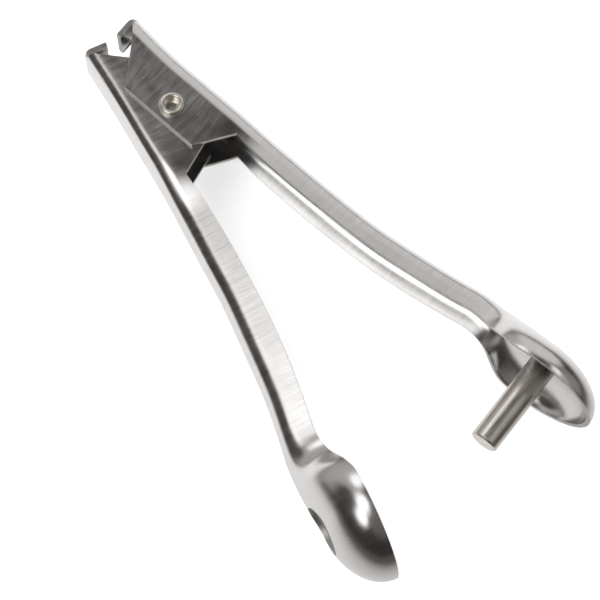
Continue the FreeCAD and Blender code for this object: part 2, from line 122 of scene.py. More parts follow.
# The end flap, folded in behind the head
FLAP_ALONG = -24.0
FLAP_TIP_OUT = 7.5
FLAP_BEND = 2.0

# Grid of the arms. Columns go up the wall, round the corner and over the spine, and the flap's
# edge lies on one of them. Shares of a half section tell where the corner begins and ends.
WALL_SHARE = 0.28
CORNER_SHARE = 0.78
WALL_COLUMNS = 8
CORNER_COLUMNS = 10
SPINE_COLUMNS = 6
FLAP_COLUMN = {"pin": WALL_COLUMNS + 8, "cup": WALL_COLUMNS + 7}
COLUMNS = WALL_COLUMNS + CORNER_COLUMNS + SPINE_COLUMNS
# Rows follow the cheeks' slanting ends in the head, stand straight across the handle, fan out
# round the hole in the bowl and go on round its tip. A stretch of straight rows is given by
# its end and its step.
HEAD_END = {"pin": 2.0, "cup": -7.2}
HEAD_ROWS = 14
FAN_START = 84.0
STRETCHES = ((CHEEK_CORNER[0], 1.8), (CHEEK_TOP[0], 1.1), (24.0, 1.4), (FAN_START, 2.0))
FAN_ROWS = 26
TIP_ROWS = 22
FOLD_STEPS = 8
FLAP_STEPS = 4
# Searches on the skin: rounds, the share that the rim stays below, and the steps over which
# slopes are taken
SETTLE_ROUNDS = 16
BISECTIONS = 30
RIM_LIMIT = 0.7
RUN_STEP = 0.05
SHARE_STEP = 0.002
SPINE_STEP = 1.0
# Points nearer to each other than this, in mm, are one
WELD = 1e-4

# Materials of an arm in their order, and what the finishes read from a mesh
SHEET_FACE = 0
CUT_FACE = 1
ROUNDED_EDGE = 2
SHEET_MAP = "sheet"
LOCAL_PLACE = "local_place"


def hinge_frame(turn_deg, scale=MM):
    """Matrix from millimetres at the hinge, turned about its axis, to the row frame."""
    turn = Matrix.Rotation(math.radians(turn_deg), 4, "Z")
    return Matrix.Translation(PIVOT) @ LAY_DOWN @ turn @ Matrix.Scale(scale, 4)


# Shapes of a pressed arm

def smooth(stations, at):
    """Cubic Hermite curve through the stations, level where it runs past them."""
    last = len(stations) - 1
    if at <= stations[0][0]:
        return stations[0][1]
    if at >= stations[last][0]:
        return stations[last][1]

    def slope(k):
        if k == last:
            return 0.0
        low, high = (0, 1) if k == 0 else (k - 1, k + 1)
        return ((stations[high][1] - stations[low][1])
                / (stations[high][0] - stations[low][0]))

    k = max(i for i in range(last) if stations[i][0] <= at)
    span = stations[k + 1][0] - stations[k][0]
    rise = stations[k + 1][1] - stations[k][1]
    t = (at - stations[k][0]) / span
    return (stations[k][1] + rise * t * t * (3 - 2 * t)
            + span * t * (1 - t) * ((1 - t) * slope(k) - t * slope(k + 1)))


def straight(stations, at):
    """Straight lines through the stations."""
    for (x0, y0), (x1, y1) in zip(stations, stations[1:]):
        if at <= x1:
            break
    return y0 + (y1 - y0) * (at - x0) / (x1 - x0)


def ease(low, high, at):
    """0 below low, 1 above high, smooth between."""
    t = min(1.0, max(0.0, (at - low) / (high - low)))
    return t * t * (3 - 2 * t)


def mix(a, b, t):
    return a + (b - a) * t


def bisect(low, high, below):
    """The point between low and high where below turns from true to false."""
    for _ in range(BISECTIONS):
        middle = (low + high) / 2
        if below(middle):
            low = middle
        else:
            high = middle
    return (low + high) / 2


class PressedArm:
    """Outer skin of one arm over (run, share): run goes from the hinge to the bowl's middle
    and on round its tip, share from the foot of the wall to the middle of the spine."""

    def __init__(self, kind, sizes):
        self.kind = kind
        self.half_width = ARM_WIDTH[kind] / 2
        self.sheet = sizes.sheet_thickness / MM
        self.radius = sizes.bowl_radius / MM
        self.depth = (sizes.dish_depth if kind == "pin" else sizes.cup_depth) / MM
        self.hole = (sizes.tenon_radius if kind == "pin" else sizes.pit_hole_radius) / MM
        self.stations = SPINE[kind] + [(CENTRE, self.depth)]
        reach = self.radius + NECK_BLEND
        beside = self.half_width + NECK_BLEND
        self.neck_start = CENTRE - math.sqrt(reach ** 2 - beside ** 2)
        self.neck_end = CENTRE - (CENTRE - self.neck_start) * self.radius / reach
        self.tip_run = CENTRE + self.radius * math.pi / 2

    def height(self, along):
        return smooth(self.stations, along)

    def corner(self, along):
        head, grip = CORNER[self.kind]
        return mix(head, grip, ease(0, CORNER_EASE_END, along))

    def plan_half_width(self, along):
        """Half width seen from the spine: straight handle, hollow neck, round bowl."""
        if along <= self.neck_start:
            return self.half_width
        if along < self.neck_end:
            over = along - self.neck_start
            return self.half_width + NECK_BLEND - math.sqrt(NECK_BLEND ** 2 - over ** 2)
        return math.sqrt(max(0.0, self.radius ** 2 - (CENTRE - along) ** 2))

    def lean(self, along):
        return math.radians(WALL_LEAN_DEG) * ease(LEAN_START, LEAN_FULL, along)

    def channel_point(self, share, along):
        """Leaning wall, round corner and flat spine."""
        height = self.height(along)
        corner = self.corner(along)
        lean = self.lean(along)
        middle = height - corner
        wall = middle + corner * math.sin(lean)
        if share < WALL_SHARE:
            out = wall * share / WALL_SHARE
            return out, self.half_width - out * math.tan(lean)
        flat = self.half_width - middle * math.tan(lean) - corner / math.cos(lean)
        if share < CORNER_SHARE:
            turned = (share - WALL_SHARE) / (CORNER_SHARE - WALL_SHARE)
            turn = mix(lean, math.pi / 2, turned)
            return middle + corner * math.sin(turn), flat + corner * math.cos(turn)
        return height, flat * (1 - share) / (1 - CORNER_SHARE)

    def bowl_point(self, share, height, half_width):
        turn = share * math.pi / 2
        if share <= 0:
            return height * turn, half_width
        power = 2.0 / ROUNDNESS
        return height * math.sin(turn) ** power, half_width * abs(math.cos(turn)) ** power

    def section_point(self, along, share):
        bowl = ease(self.neck_start - BOWL_EASE_BEFORE, self.neck_end + BOWL_EASE_AFTER, along)
        if bowl <= 0.0:
            return self.channel_point(share, along)
        out_b, side_b = self.bowl_point(share, self.height(along), self.plan_half_width(along))
        if bowl >= 1.0:
            return out_b, side_b
        out_c, side_c = self.channel_point(share, along)
        return mix(out_c, out_b, bowl), mix(side_c, side_b, bowl)

    def skin(self, run, share):
        out, side = self.section_point(min(run, CENTRE), share)
        turn = max(0.0, run - CENTRE) / self.radius
        return Vector((min(run, CENTRE) + side * math.sin(turn), out, side * math.cos(turn)))

    def normal(self, run, share):
        """Outward normal of the skin."""
        ahead = self.skin(run + RUN_STEP, share) - self.skin(run - RUN_STEP, share)
        over = min(share + SHARE_STEP, 1.0)
        across = self.skin(run, over) - self.skin(run, share - SHARE_STEP)
        normal = ahead.cross(across)
        if share >= 1.0 or run >= self.tip_run:
            normal.z = 0.0
        return normal.normalized()

    def rim_out(self, along):
        """Height of the wall's lower edge over the closing plane."""
        if along < CHEEK_TOP[0]:
            return straight(CHEEK[self.kind], along)
        return smooth(RIM, along)

    def rim_share(self, run):
        if run >= RIM[-1][0]:
            return 0.0
        level = self.rim_out(run)
        if run < self.neck_start - BOWL_EASE_BEFORE:
            return level * WALL_SHARE / self.channel_point(WALL_SHARE, run)[0]
        return bisect(0.0, RIM_LIMIT, lambda share: self.section_point(run, share)[0] < level)

    def column_share(self, column, rim):
        """Share of a column: evenly up the wall, round the corner and over the spine."""
        if column <= WALL_COLUMNS:
            return mix(rim, WALL_SHARE, column / WALL_COLUMNS)
        column -= WALL_COLUMNS
        if column <= CORNER_COLUMNS:
            return mix(WALL_SHARE, CORNER_SHARE, column / CORNER_COLUMNS)
        return mix(CORNER_SHARE, 1.0, (column - CORNER_COLUMNS) / SPINE_COLUMNS)

    def head_row(self, share_of_head):
        """Row between the slanting end of the cheeks and the first straight row."""
        cheek_along, cheek_out = CHEEK[self.kind][0]
        root = self.flap_root()
        row = []
        for column in range(COLUMNS + 1):
            fold = ease(WALL_COLUMNS, FLAP_COLUMN[self.kind], column)
            along = cheek_along
            for _ in range(SETTLE_ROUNDS):
                share = self.column_share(column, self.rim_share(along))
                out = self.section_point(along, share)[0]
                end = mix(cheek_along - CHEEK_END_SLOPE * (out - cheek_out), root, fold)
                along = mix(end, HEAD_END[self.kind], share_of_head)
            row.append((along, share))
        return row

    def straight_row(self, along):
        rim = self.rim_share(along)
        return [(along, self.column_share(column, rim)) for column in range(COLUMNS + 1)]

    def fan_row(self, rim_run, inner_run, inner_share):
        """Row from the rim to the edge of the hole in the bowl."""
        rim = self.rim_share(rim_run)
        row = []
        for column in range(COLUMNS + 1):
            over = (self.column_share(column, rim) - rim) / (1 - rim)
            row.append((mix(rim_run, inner_run, over), mix(rim, inner_share, over)))
        return row

    def hole_share(self, along, side):
        return bisect(0.0, 1.0, lambda share: self.section_point(along, share)[1] > side)

    def rows(self):
        """Grid rows as lists of (run, share), and the number of the row where the hole starts."""
        rows = [self.head_row(k / HEAD_ROWS) for k in range(HEAD_ROWS)]
        start = HEAD_END[self.kind]
        for stop, step in STRETCHES:
            count = math.ceil((stop - start) / step)
            rows += [self.straight_row(mix(start, stop, k / count)) for k in range(count)]
            start = stop
        lead = CENTRE - self.hole - FAN_START
        arc = self.hole * math.pi / 2
        before = round(FAN_ROWS * lead / (lead + arc))
        for k in range(FAN_ROWS):
            rim_run = mix(FAN_START, CENTRE, k / FAN_ROWS)
            if k <= before:
                rows.append(self.fan_row(rim_run, FAN_START + lead * k / before, 1.0))
                continue
            turn = math.pi / 2 * (k - before) / (FAN_ROWS - before)
            inner_run = CENTRE - self.hole * math.cos(turn)
            inner = self.hole_share(inner_run, self.hole * math.sin(turn))
            rows.append(self.fan_row(rim_run, inner_run, inner))
        hole_row = len(rows) - FAN_ROWS + before
        inner = self.hole_share(CENTRE, self.hole)
        for k in range(TIP_ROWS + 1):
            run = mix(CENTRE, self.tip_run, k / TIP_ROWS)
            rows.append(self.fan_row(run, run, inner))
        return rows, hole_row

    def flap_slope(self):
        top = FLAP_ALONG + FLAP_BEND
        fall = self.height(top - SPINE_STEP) - self.height(top + SPINE_STEP)
        return math.atan2(fall, 2 * SPINE_STEP)

    def flap_root(self):
        return FLAP_ALONG + FLAP_BEND * (1 + math.sin(self.flap_slope()))

    def flap_rows(self, shares):
        """Rows of the folded end, from its root to its tip, as lists of (point, normal, mark)."""
        slope = self.flap_slope()
        root = self.flap_root()
        height = self.height(root)
        middle = Vector((FLAP_ALONG + FLAP_BEND, height - FLAP_BEND * math.cos(slope)))
        drop = middle.y - FLAP_TIP_OUT
        stations = []
        for k in range(1, FOLD_STEPS + 1):
            turn = mix(-slope, math.pi / 2, k / FOLD_STEPS)
            stations.append((middle, turn, FLAP_BEND * (turn + slope)))
        bent = stations[-1][2]
        for k in range(1, FLAP_STEPS + 1):
            fall = drop * k / FLAP_STEPS
            stations.append((middle - Vector((0, fall)), math.pi / 2, bent + fall))
        rows = []
        for centre, turn, length in stations:
            away = Vector((-math.sin(turn), math.cos(turn)))
            row = []
            for share in shares:
                out, side = self.section_point(root, share)
                tilt = self.normal(root, share)
                point = centre + away * (FLAP_BEND - (height - out))
                normal = Vector((away.x * tilt.y, away.y * tilt.y, tilt.z)).normalized()
                row.append((Vector((point.x, point.y, side)), normal, (root - length, side)))
            rows.append(row)
        return rows

    def skin_rows(self):
        """The grid of the skin as rows of (point, normal, mark), and where the hole starts. A
        mark is a place on the flat sheet: run, and distance from the middle of the spine."""
        rows, hole_row = self.rows()
        made = []
        for row in rows:
            points = [self.skin(run, share) for run, share in row]
            across = 0.0
            line = []
            for k in reversed(range(len(row))):
                line.append((points[k], self.normal(*row[k]), (row[k][0], across)))
                across += (points[k] - points[k - 1]).length if k else 0.0
            made.append(line[::-1])
        flap = [made[0][FLAP_COLUMN[self.kind]:]]
        flap += self.flap_rows([share for run, share in rows[0][FLAP_COLUMN[self.kind]:]])
        return made, flap, hole_row


def add_quads(bm, rows, material):
    """Quads between rows of (point, mark)."""
    uv = bm.loops.layers.uv[SHEET_MAP]
    verts = [[bm.verts.new(point) for point, mark in row] for row in rows]
    for i in range(len(rows) - 1):
        for j in range(len(rows[0]) - 1):
            corners = [(i, j), (i + 1, j), (i + 1, j + 1), (i, j + 1)]
            face = bm.faces.new([verts[a][b] for a, b in corners])
            face.material_index = material
            face.smooth = True
            for loop, (a, b) in zip(face.loops, corners):
                loop[uv].uv = rows[a][b][1]


def arm_mesh(arm):
    """The sheet of one arm as a closed mesh: two skins and the cut edge between them."""
    bm = bmesh.new()
    bm.loops.layers.uv.new(SHEET_MAP)
    main, flap, hole_row = arm.skin_rows()
    edge = FLAP_COLUMN[arm.kind]
    cuts = [
        [row[0] for row in main],
        main[0][:edge + 1],
        [row[0] for row in flap],
        flap[-1],
        [row[-1] for row in main[hole_row:]],
    ]
    turned = -1 if arm.kind == "cup" else 1

    def lay(record, depth, side):
        point, normal, mark = record
        at = point - normal * depth
        return (at.x, at.y * turned, at.z * side), (mark[0], mark[1] * side)

    for side in (1, -1):
        for depth in (0.0, arm.sheet):
            for rows in (main, flap):
                add_quads(bm, [[lay(r, depth, side) for r in row] for row in rows], SHEET_FACE)
        for cut in cuts:
            rows = [[lay(r, depth, side) for r in cut] for depth in (0.0, arm.sheet)]
            add_quads(bm, rows, CUT_FACE)
    bmesh.ops.remove_doubles(bm, verts=bm.verts, dist=WELD)
    bmesh.ops.recalc_face_normals(bm, faces=bm.faces)
    return bm


# Making and trimming pieces

TURNED_SIDES = 72
WIRE_SIDES = 16
HOLE_SIDES = 64
BEND_STEPS = 6
DRILL_LENGTH = 40.0
# The wire's radius at its cut ends, as a share of the whole
WIRE_END_SHARE = 0.8
EDGE_SEGMENTS = 3
EDGE_ANGLE_DEG = 40.0
CRISP_DEG = 35.0


def new_piece(name, bm, place, materials):
    """Turn a bmesh in local millimetres into an object in the row frame. The local place of
    each point is kept for the grain of its finish."""
    kept = bm.verts.layers.float_vector.new(LOCAL_PLACE)
    for vert in bm.verts:
        vert[kept] = vert.co
    bmesh.ops.transform(bm, matrix=place, verts=bm.verts)
    mesh = bpy.data.meshes.new(name)
    bm.to_mesh(mesh)
    bm.free()
    for material in materials:
        mesh.materials.append(material)
    piece = bpy.data.objects.new(name, mesh)
    bpy.context.scene.collection.objects.link(piece)
    return piece


def drill(piece, place, radius):
    """Cut the rivet's hole through both cheeks of an arm."""
    bm = bmesh.new()
    bmesh.ops.create_cone(bm, cap_ends=True, segments=HOLE_SIDES, radius1=radius,
                          radius2=radius, depth=DRILL_LENGTH)
    for face in bm.faces:
        face.smooth = True
    tool = new_piece("rivet_drill", bm, place, piece.data.materials)
    for face in tool.data.polygons:
        face.material_index = CUT_FACE
    cut = piece.modifiers.new("rivet_hole", "BOOLEAN")
    cut.object = tool
    cut.operation = "DIFFERENCE"
    cut.solver = "EXACT"
    settled = piece.evaluated_get(bpy.context.evaluated_depsgraph_get())
    drilled = bpy.data.meshes.new_from_object(settled)
    if len(drilled.polygons) == len(piece.data.polygons):
        raise RuntimeError("the rivet's hole wasn't cut in " + piece.name)
    piece.modifiers.remove(cut)
    whole = piece.data
    piece.data = drilled
    for mesh in (whole, tool.data):
        bpy.data.meshes.remove(mesh)
    drilled.name = piece.name


def break_edges(piece, width):
    """Round the sheet's cut edges a little, as tumbling does."""
    bevel = piece.modifiers.new("broken_edges", "BEVEL")
    bevel.width = width
    bevel.segments = EDGE_SEGMENTS
    bevel.limit_method = "ANGLE"
    bevel.angle_limit = math.radians(EDGE_ANGLE_DEG)
    bevel.harden_normals = True
    bevel.material = ROUNDED_EDGE


def rounded(corners):
    """Profile through (radius, height, round) corners, each rounded by its own radius."""
    points = []
    last = len(corners) - 1
    for k, (radius, height, bend) in enumerate(corners):
        here = Vector((radius, height))
        if bend <= 0:
            points.append(here)
            continue
        before = (Vector(corners[k - 1][:2]) - here).normalized()
        after = (Vector(corners[0 if k == last else k + 1][:2]) - here).normalized()
        half = before.angle(after) / 2
        start = here + before * (bend / math.tan(half))
        stop = here + after * (bend / math.tan(half))
        middle = here + (before + after).normalized() * (bend / math.sin(half))
        sweep = (start - middle).angle_signed(stop - middle)
        for step in range(BEND_STEPS + 1):
            turn = Matrix.Rotation(-sweep * step / BEND_STEPS, 2)
            points.append(middle + turn @ (start - middle))
    return points


def circle(sides):
    """Cosine and sine of even turns round a circle."""
    turns = [2 * math.pi * k / sides for k in range(sides)]
    return [(math.cos(turn), math.sin(turn)) for turn in turns]


def join_rings(bm, rings):
    """Quads between rings that have equally many points."""
    for lower, upper in zip(rings, rings[1:]):
        for k in range(len(lower)):
            ahead = (k + 1) % len(lower)
            face = bm.faces.new((lower[k], lower[ahead], upper[ahead], upper[k]))
            face.smooth = True


def turned_mesh(profile):
    """Turn a profile of (radius, height) points round the Z axis."""
    bm = bmesh.new()
    around = circle(TURNED_SIDES)
    join_rings(bm, [[bm.verts.new((point.x * across, point.x * over, point.y))
                     for across, over in around] for point in profile])
    bmesh.ops.remove_doubles(bm, verts=bm.verts, dist=WELD)
    bmesh.ops.recalc_face_normals(bm, faces=bm.faces)
    return bm


def wire_mesh(path, radius):
    """Round wire along a path that is never upright, its cut ends broken a little."""
    bm = bmesh.new()
    last = len(path) - 1
    rings = []
    for i, point in enumerate(path):
        ahead = (path[min(i + 1, last)] - path[max(i - 1, 0)]).normalized()
        across = ahead.cross(Vector((0, 0, 1))).normalized()
        over = across.cross(ahead)
        reach = radius * WIRE_END_SHARE if i in (0, last) else radius
        rings.append([bm.verts.new(point + (across * a + over * b) * reach)
                      for a, b in circle(WIRE_SIDES)])
    join_rings(bm, rings)
    for ring in (rings[0], rings[-1]):
        bm.faces.new(ring)
    bmesh.ops.recalc_face_normals(bm, faces=bm.faces)
    return bm


def mount(piece, body, node):
    """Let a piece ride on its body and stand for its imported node."""
    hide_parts(node)
    if body:
        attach(piece, body)


def make_crisp(name, bm, place, steel, body, node):
    """A small piece with crisp edges, mounted."""
    piece = new_piece(name, bm, place, [steel])
    piece.data.set_sharp_from_angle(angle=math.radians(CRISP_DEG))
    mount(piece, body, node)
    return piece


# Finishes

# A noise is given by its scale per mm, detail and roughness, and a grain by its scale per mm
# along each axis, turn in degrees, detail and roughness. Their values mostly keep to a range.
NOISE_RANGE = (0.3, 0.7)
NOISE_MIDDLE = (0.35, 0.65)
WHITE = (1.0, 1.0, 1.0)
# Relief of the patterns, as shares of the height of the polishing strokes
RELIEF = {"strokes": 1.7, "hairs": 0.1, "pits": -0.25, "edge lines": 0.5, "streaks": 0.8,
          "speckle": 0.8, "rings": 0.25}


class Shading:
    """Node tree of a material or of the world under construction."""

    def __init__(self, owner):
        owner.use_nodes = True
        self.owner = owner
        self.tree = owner.node_tree
        self.tree.nodes.clear()

    def node(self, kind, settings=None, **inputs):
        """Add a node. Inputs are named by their socket, or _0, _1 and so on by number."""
        made = self.tree.nodes.new("ShaderNode" + kind)
        for key, value in (settings or {}).items():
            setattr(made, key, value)
        for key, value in inputs.items():
            socket = made.inputs[int(key[1:]) if key[0] == "_" else key.replace("_", " ")]
            self.fill(socket, value)
        return made

    def fill(self, socket, value):
        """Link a socket to another one, or set its value."""
        if isinstance(value, bpy.types.NodeSocket):
            self.tree.links.new(value, socket)
        else:
            socket.default_value = value

    def maths(self, operation, a, b=0.0):
        return self.node("Math", {"operation": operation}, _0=a, _1=b).outputs[0]

    def times(self, a, b):
        return self.maths("MULTIPLY", a, b)

    def spread(self, value, low, high, to_low=0.0, to_high=1.0, curve="LINEAR"):
        return self.node("MapRange", {"interpolation_type": curve}, Value=value, From_Min=low,
                         From_Max=high, To_Min=to_low, To_Max=to_high).outputs[0]

    def varied(self, pattern, value, low, high):
        """The value times low to high, as the pattern rises."""
        return self.spread(pattern, *NOISE_RANGE, value * low, value * high)

    def sheet_place(self):
        return self.node("UVMap", {"uv_map": SHEET_MAP}).outputs[0]

    def local_place(self):
        return self.node("Attribute", {"attribute_name": LOCAL_PLACE}).outputs["Vector"]

    def coordinate(self, place, axis):
        return self.node("SeparateXYZ", _0=place).outputs[axis]

    def noise(self, place, scale, detail=3.0, roughness=0.5):
        return self.node("TexNoise", Vector=place, Scale=scale, Detail=detail,
                         Roughness=roughness).outputs["Fac"]

    def grain(self, place, scales, turn_deg=0.0, detail=2.0, roughness=0.5):
        """Noise with a scale of its own along each axis, turned in the plane of X and Y."""
        turn = (0.0, 0.0, math.radians(turn_deg))
        laid = self.node("Mapping", Vector=place, Scale=scales, Rotation=turn).outputs[0]
        return self.noise(laid, 1.0, detail, roughness)

    def tinted(self, share, a, b):
        """Mix two colours, each a colour or a socket."""
        made = self.node("Mix", {"data_type": "RGBA"}, _0=share)
        for socket, value in ((made.inputs[6], a), (made.inputs[7], b)):
            linked = isinstance(value, bpy.types.NodeSocket)
            self.fill(socket, value if linked else (*value, 1.0))
        return made.outputs[2]

    def cloudy(self, clouds, low, high, colour, shade):
        """The colour, and where the clouds are thin a darker shade of it."""
        return self.tinted(self.spread(clouds, low, high), shade_of(colour, shade), colour)

    def raised(self, height, distance, strength=1.0, under=None):
        links = {} if under is None else {"Normal": under}
        return self.node("Bump", Height=height, Strength=strength, Distance=distance,
                         **links).outputs[0]

    def metal(self, colour, roughness, normal):
        return self.show(self.node("BsdfPrincipled", Base_Color=colour, Metallic=1.0,
                                   Roughness=roughness, Normal=normal))

    def seen_directly(self, rays):
        """1 where the camera looks straight or through a clear piece."""
        return self.maths("MAXIMUM", rays["Is Camera Ray"], rays["Is Transmission Ray"])

    def show(self, shader, output="OutputMaterial"):
        self.tree.links.new(shader.outputs[0], self.node(output).inputs["Surface"])
        return self.owner


def shade_of(colour, share):
    return tuple(channel * share for channel in colour)


# Patterns of the sheet
PRESS_WAVES = (0.085, 1.5, 0.4)
SHEET_CLOUDS = (0.33, 4.0, 0.6)
GLOSS_PATCHES = (0.055, 0.12, 1.0)
GLOSS_RANGE = (0.82, 1.18)
BELT_STROKES = ((0.8, 0.1, 1.0), 6.0, 5.0, 0.62)
BELT_HAIRS = ((3.5, 0.25, 1.0), -9.0, 3.0, 0.6)
# Distances from the hinge, in mm, between which the strokes grow and fade, and their strength
# on the head and on the bowl
GRIP_START = (18.0, 36.0)
GRIP_END = (78.0, 96.0)
HEAD_STROKES = 0.4
BOWL_STROKES = 0.35
STROKE_TINT = 0.7
STROKE_SHADE = 0.82
STROKE_GLOSS = (-0.03, 0.04)
# Scratches and rubs: scales of a grain per mm, turn in degrees, and the value of another noise
# over which they show. They lie where the grain is within SCRATCH_WIDTH of its middle value.
SCRATCHES = ((1.1, 0.03, 1.0), 38.0, 0.6)
RUBS = ((0.03, 1.3, 1.0), -14.0, 0.58)
SCRATCHED_PARTS = (0.13, 2.0)
SCRATCH_WIDTH = 0.008
SCRATCH_FADE = 0.06
SCRATCH_TINT = 0.1
# Pits are the middles of cells, shown where the clouds are thick
PITS_PER_MM = 0.42
PIT_SIZE = (0.035, 0.075)
PITTED_CLOUDS = (0.52, 0.6)
PIT_TINT = 0.75
PIT_GLOSS = 0.2
EDGE_LINES = ((3.0, 0.6, 1.0), 0.0, 4.0, 0.6)
EDGE_CLOUDS = 0.6


def scratched(look, place, scales, turn_deg, bare):
    """Sparse thin lines, left out where another noise is below the bare value."""
    off = look.maths("SUBTRACT", look.grain(place, scales, turn_deg, detail=0.0), 0.5)
    line = look.spread(look.maths("ABSOLUTE", off), 0.0, SCRATCH_WIDTH, 1.0, 0.0)
    part = look.noise(place, *SCRATCHED_PARTS)
    return look.times(line, look.spread(part, bare, bare + SCRATCH_FADE))


def pressed_steel(name, finishes):
    """Plated sheet steel: strokes of the polishing belt across the arm, slow waves left by the
    press, cloudy gloss, a few long scratches and dark pits."""
    look = Shading(bpy.data.materials.new(name))
    place = look.sheet_place()
    waves = look.noise(place, *PRESS_WAVES)
    clouds = look.noise(place, *SHEET_CLOUDS)
    patches = look.grain(place, GLOSS_PATCHES)
    strokes = look.grain(place, *BELT_STROKES)
    hairs = look.grain(place, *BELT_HAIRS)
    run = look.coordinate(place, "X")
    grip = look.times(look.spread(run, *GRIP_START, HEAD_STROKES, 1.0, "SMOOTHSTEP"),
                      look.spread(run, *GRIP_END, 1.0, BOWL_STROKES, "SMOOTHSTEP"))
    marks = look.maths("MAXIMUM", scratched(look, place, *SCRATCHES),
                       scratched(look, place, *RUBS))
    cells = look.node("TexVoronoi", Vector=place, Scale=PITS_PER_MM).outputs["Distance"]
    pits = look.times(look.spread(cells, *PIT_SIZE, 1.0, 0.0),
                      look.spread(clouds, *PITTED_CLOUDS))

    colour = finishes.steel_colour
    tone = look.cloudy(clouds, *NOISE_RANGE, colour, shade=0.95)
    dull = look.times(look.spread(strokes, *NOISE_MIDDLE, STROKE_TINT, 0.0), grip)
    tone = look.tinted(dull, tone, shade_of(colour, STROKE_SHADE))
    tone = look.tinted(look.times(marks, SCRATCH_TINT), tone, finishes.edge_colour)
    tone = look.tinted(look.times(pits, PIT_TINT), tone, finishes.grime_and_shade_colour)

    gloss = look.varied(patches, finishes.steel_roughness, *GLOSS_RANGE)
    gloss = look.maths("ADD", gloss, look.spread(strokes, *NOISE_RANGE, *STROKE_GLOSS))
    gloss = look.maths("ADD", gloss, look.times(pits, PIT_GLOSS))

    normal = look.raised(waves, finishes.wave_height)
    height = finishes.stroke_height
    normal = look.raised(strokes, height * RELIEF["strokes"], grip, under=normal)
    normal = look.raised(hairs, height * RELIEF["hairs"], under=normal)
    normal = look.raised(pits, height * RELIEF["pits"], under=normal)
    return look.metal(tone, gloss, normal)


def sheared_steel(name, colour, finishes):
    """Cut face or rounded edge with the fine lines of the blanking tool."""
    look = Shading(bpy.data.materials.new(name))
    place = look.sheet_place()
    lines = look.grain(place, *EDGE_LINES)
    tone = look.cloudy(look.noise(place, EDGE_CLOUDS), *NOISE_MIDDLE, colour, shade=0.82)
    gloss = look.varied(lines, finishes.edge_roughness, low=0.8, high=1.0)
    normal = look.raised(lines, finishes.stroke_height * RELIEF["edge lines"])
    return look.metal(tone, gloss, normal)


# Patterns of the bar: its flecks and its painted shade show over a value of the speckle
BAR_STREAKS = ((3.2, 3.2, 0.16), 0.0, 5.0, 0.65)
BAR_SPECKLE = (2.6, 4.0, 0.7)
BAR_CLOUDS = (0.24, 3.0, 0.6)
ROOT_SHADE_SPECKLE = (0.4, 0.62)
LEAST_ROOT_SHADE = 0.15
ROOT_SHADE_TINT = 0.8
FLECKED_SPECKLE = (0.62, 0.72)
FLECK_TINT = 0.3


def bar_steel(name, finishes):
    """Cut and plated bar: scratches along it, and mottled painted shade towards its root in the
    dish.
    """
    look = Shading(bpy.data.materials.new(name))
    place = look.local_place()
    streaks = look.grain(place, *BAR_STREAKS)
    speckle = look.noise(place, *BAR_SPECKLE)
    clouds = look.noise(place, *BAR_CLOUDS)
    # Painted shade: the bar darkens, in mottled patches, towards its root where it stands in the
    # dish
    root = look.spread(look.coordinate(place, "Z"), finishes.root_shade_start / MM,
                       finishes.root_shade_end / MM, curve="SMOOTHSTEP")
    root_shade = look.times(look.spread(speckle, *ROOT_SHADE_SPECKLE, LEAST_ROOT_SHADE), root)
    fleck = look.spread(speckle, *FLECKED_SPECKLE)

    tone = look.cloudy(clouds, *NOISE_MIDDLE, finishes.bar_colour, shade=0.84)
    tone = look.tinted(look.times(root_shade, ROOT_SHADE_TINT), tone, finishes.grime_and_shade_colour)
    tone = look.tinted(look.times(fleck, FLECK_TINT), tone, finishes.grime_and_shade_colour)
    gloss = look.varied(streaks, finishes.bar_roughness, low=0.8, high=1.3)
    normal = look.raised(streaks, finishes.stroke_height * RELIEF["streaks"])
    normal = look.raised(speckle, finishes.stroke_height * RELIEF["speckle"], under=normal)
    return look.metal(tone, gloss, normal)


# Scales of the grains of the small pieces: rings left by turning or stamping, lines along a
# drawn tube, and a wire's even grain
RINGS = (0.5, 0.5, 9.0)
DRAWN_LINES = (6.0, 6.0, 0.4)
EVEN_GRAIN = (2.0, 2.0, 2.0)
SMALL_CLOUDS = 0.7
CLOUDED = (0.35, 0.68)
SMALL_SPECKS = (4.0, 2.0)
SPECKED = (0.68, 0.76)
SPECK_TINT = 0.4


def small_steel(name, colour, roughness, finishes, scales):
    """Small turned or drawn piece: fine grain, cloudy tone and a little grime in its pores."""
    look = Shading(bpy.data.materials.new(name))
    place = look.local_place()
    clouds = look.noise(place, SMALL_CLOUDS)
    specks = look.spread(look.noise(place, *SMALL_SPECKS), *SPECKED, 0.0, SPECK_TINT)
    tone = look.cloudy(clouds, *CLOUDED, colour, shade=0.94)
    tone = look.tinted(specks, tone, finishes.grime_and_shade_colour)
    gloss = look.varied(clouds, roughness, low=0.9, high=1.15)
    normal = look.raised(look.grain(place, scales), finishes.stroke_height * RELIEF["rings"])
    return look.metal(tone, gloss, normal)


